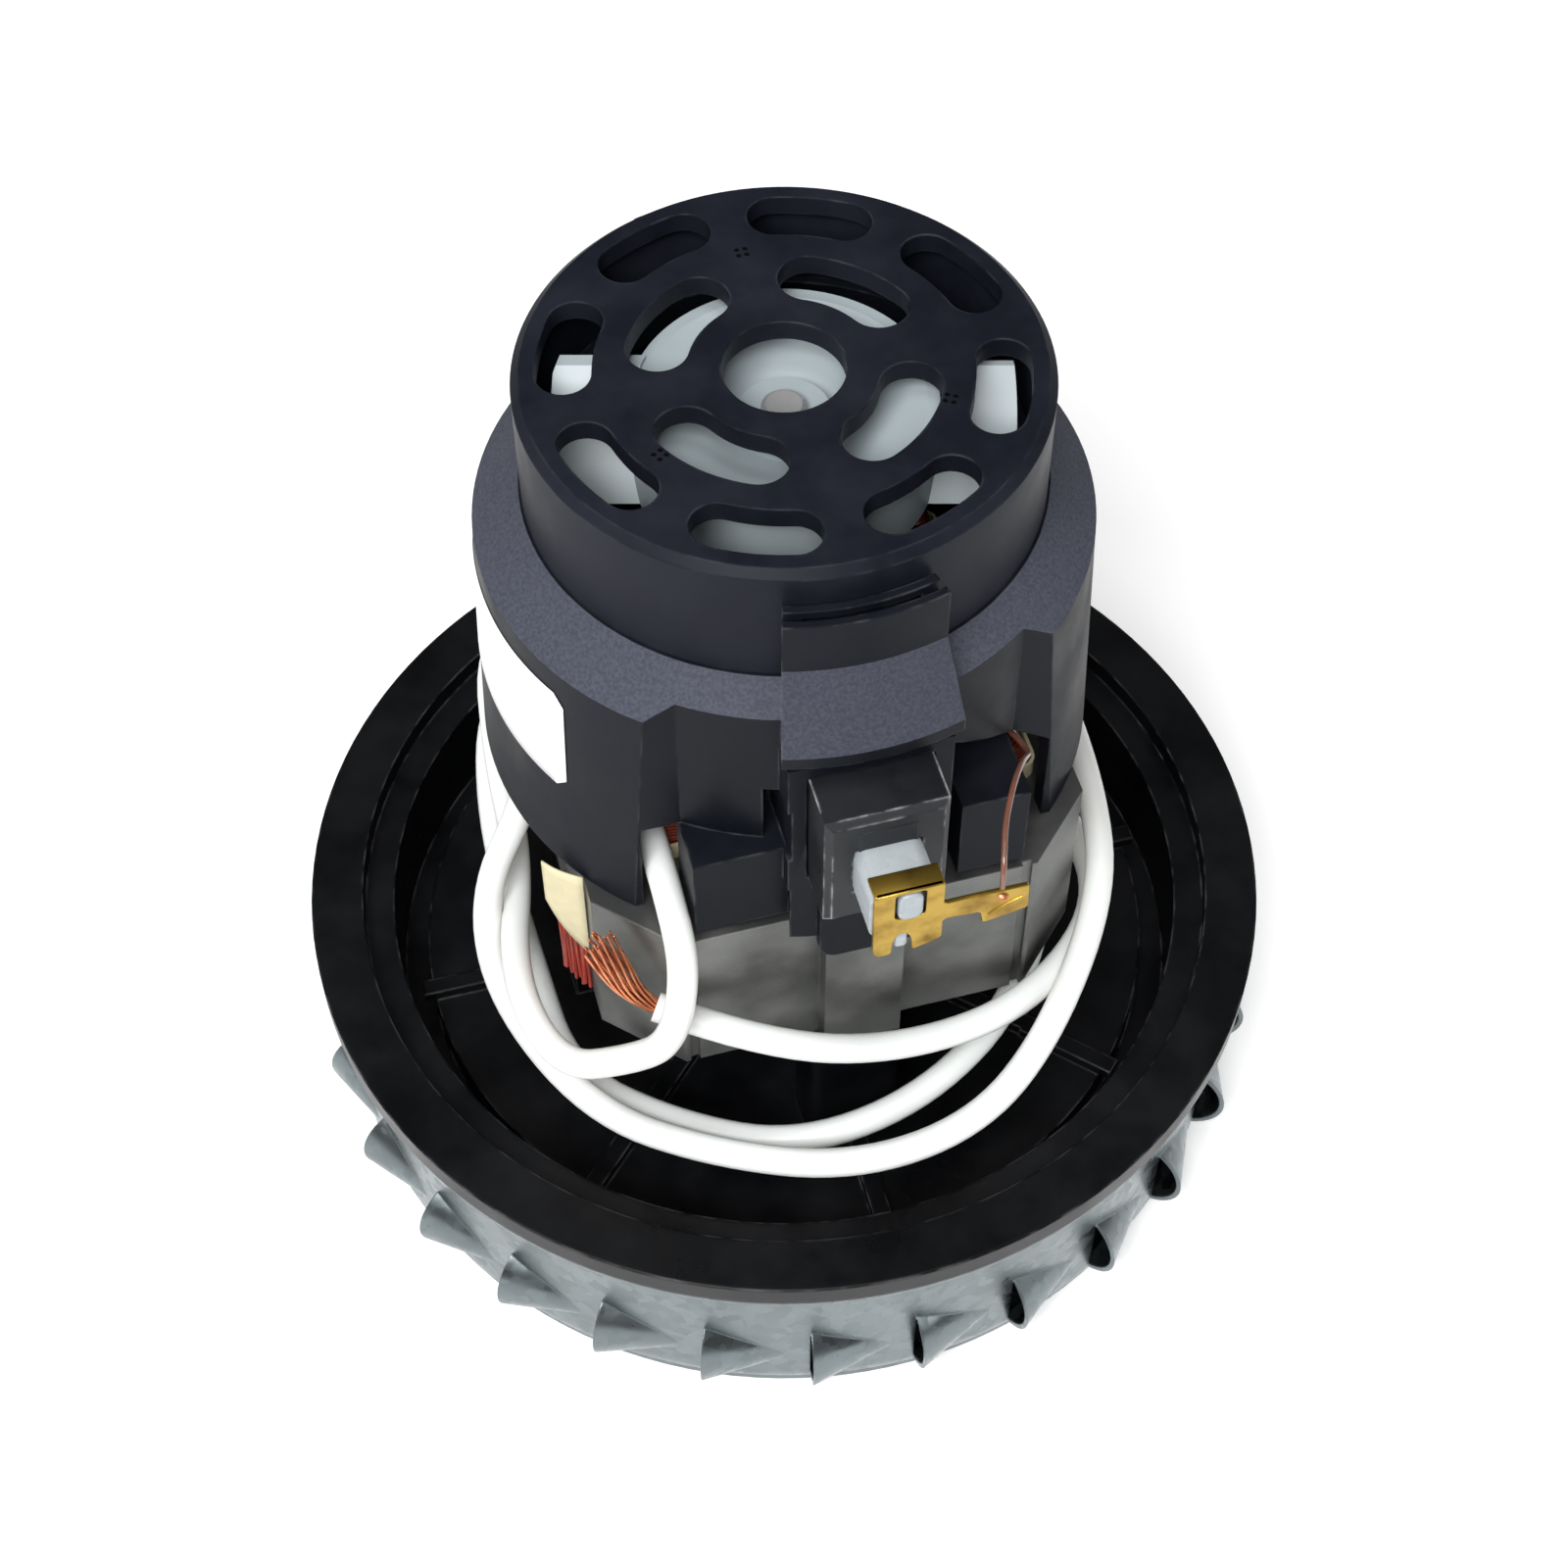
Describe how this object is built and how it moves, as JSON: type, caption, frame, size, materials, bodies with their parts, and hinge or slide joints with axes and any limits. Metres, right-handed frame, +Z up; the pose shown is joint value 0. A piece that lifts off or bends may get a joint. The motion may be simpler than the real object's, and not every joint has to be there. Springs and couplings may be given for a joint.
{
  "type": "vacuum motor unit",
  "caption": "By-pass vacuum cleaner motor: louvred steel fan pan under a black dish, with a vented motor head, brush gear and two white leads",
  "frame": {"origin": "centre of the shaft axis, at the underside of the fan pan", "axes": "+Z up the shaft from the fan pan to the cover; the picture looks along +Y; the front brush points 15.5 degrees towards +X from -Y"},
  "size_m": [0.1326, 0.1326, 0.1299],
  "materials": {
    "housing_plastic": "moulded, fine grain",
    "dish_plastic": "moulded, satin",
    "cover_plastic": "moulded, satin",
    "pan_steel": "galvanised, satin",
    "lamination_steel": "stacked laminations",
    "winding_enamel": "enamelled copper wire",
    "paper": "insulation paper",
    "bearing_steel": "ground",
    "screw_steel": "zinc plated",
    "box_steel": "galvanised",
    "brass": "stamped sheet, satin",
    "carbon": "pressed carbon",
    "commutator_copper": "turned copper",
    "hub_resin": "moulded resin",
    "fan_plastic": "moulded, satin",
    "impeller_aluminium": "pressed sheet",
    "lead_rubber": "soft, matte",
    "bare_copper": "tinned copper strands"
  },
  "bodies": {
    "frame": {"fan_housing": "pan_steel", "eye_seal": "dish_plastic", "base_dish": "dish_plastic", "stator_core": "lamination_steel", "field_coil_front": "winding_enamel", "field_coil_rear": "winding_enamel", "slot_papers": "paper", "side_paper": "paper", "bearing_retainer": "screw_steel", "retainer_screws": "screw_steel", "bearing_outer_rings": "bearing_steel", "preload_washer": "bearing_steel", "motor_housing": "housing_plastic", "fan_cover": "cover_plastic", "brush_holder_front": "housing_plastic", "brush_holder_rear": "housing_plastic", "brush_box_front": "box_steel", "brush_box_rear": "box_steel", "brush_cap_front": "brass", "brush_cap_rear": "brass", "brush_spring_front": "screw_steel", "brush_spring_rear": "screw_steel", "stator_screws": "screw_steel", "field_wire_front": "bare_copper", "field_wire_rear": "bare_copper", "long_lead": "lead_rubber", "short_lead": "lead_rubber", "lead_strands": "bare_copper"},
    "rotor": {"bearing_inner_rings": "bearing_steel", "shaft": "bearing_steel", "armature_core": "lamination_steel", "end_boards": "hub_resin", "armature_winding": "winding_enamel", "commutator_bars": "commutator_copper", "commutator_hub": "hub_resin", "impeller_front": "impeller_aluminium", "impeller_back": "impeller_aluminium", "impeller_blades": "impeller_aluminium", "impeller_washers": "screw_steel", "impeller_spacer": "bearing_steel", "impeller_nut": "screw_steel", "cooling_fan": "fan_plastic"},
    "brush_front": {"carbon_brush_front": "carbon"},
    "brush_rear": {"carbon_brush_rear": "carbon"}
  },
  "joints": [
    {"name": "rotor_spin", "type": "hinge", "parent": "frame", "child": "rotor", "pos_m": [0, 0, 0], "axis": [0, 0, 1], "continuous": true},
    {"name": "front_brush_slide", "type": "slide", "parent": "frame", "child": "brush_front", "axis": [0.2672, -0.9636, 0], "range_m": [0, 0.004], "stiffness_N_per_m": 150, "springref_m": -0.02, "deforming": ["brush_spring_front"]},
    {"name": "rear_brush_slide", "type": "slide", "parent": "frame", "child": "brush_rear", "axis": [-0.2672, 0.9636, 0], "range_m": [0, 0.004], "stiffness_N_per_m": 150, "springref_m": -0.02, "deforming": ["brush_spring_rear"]}
  ]
}
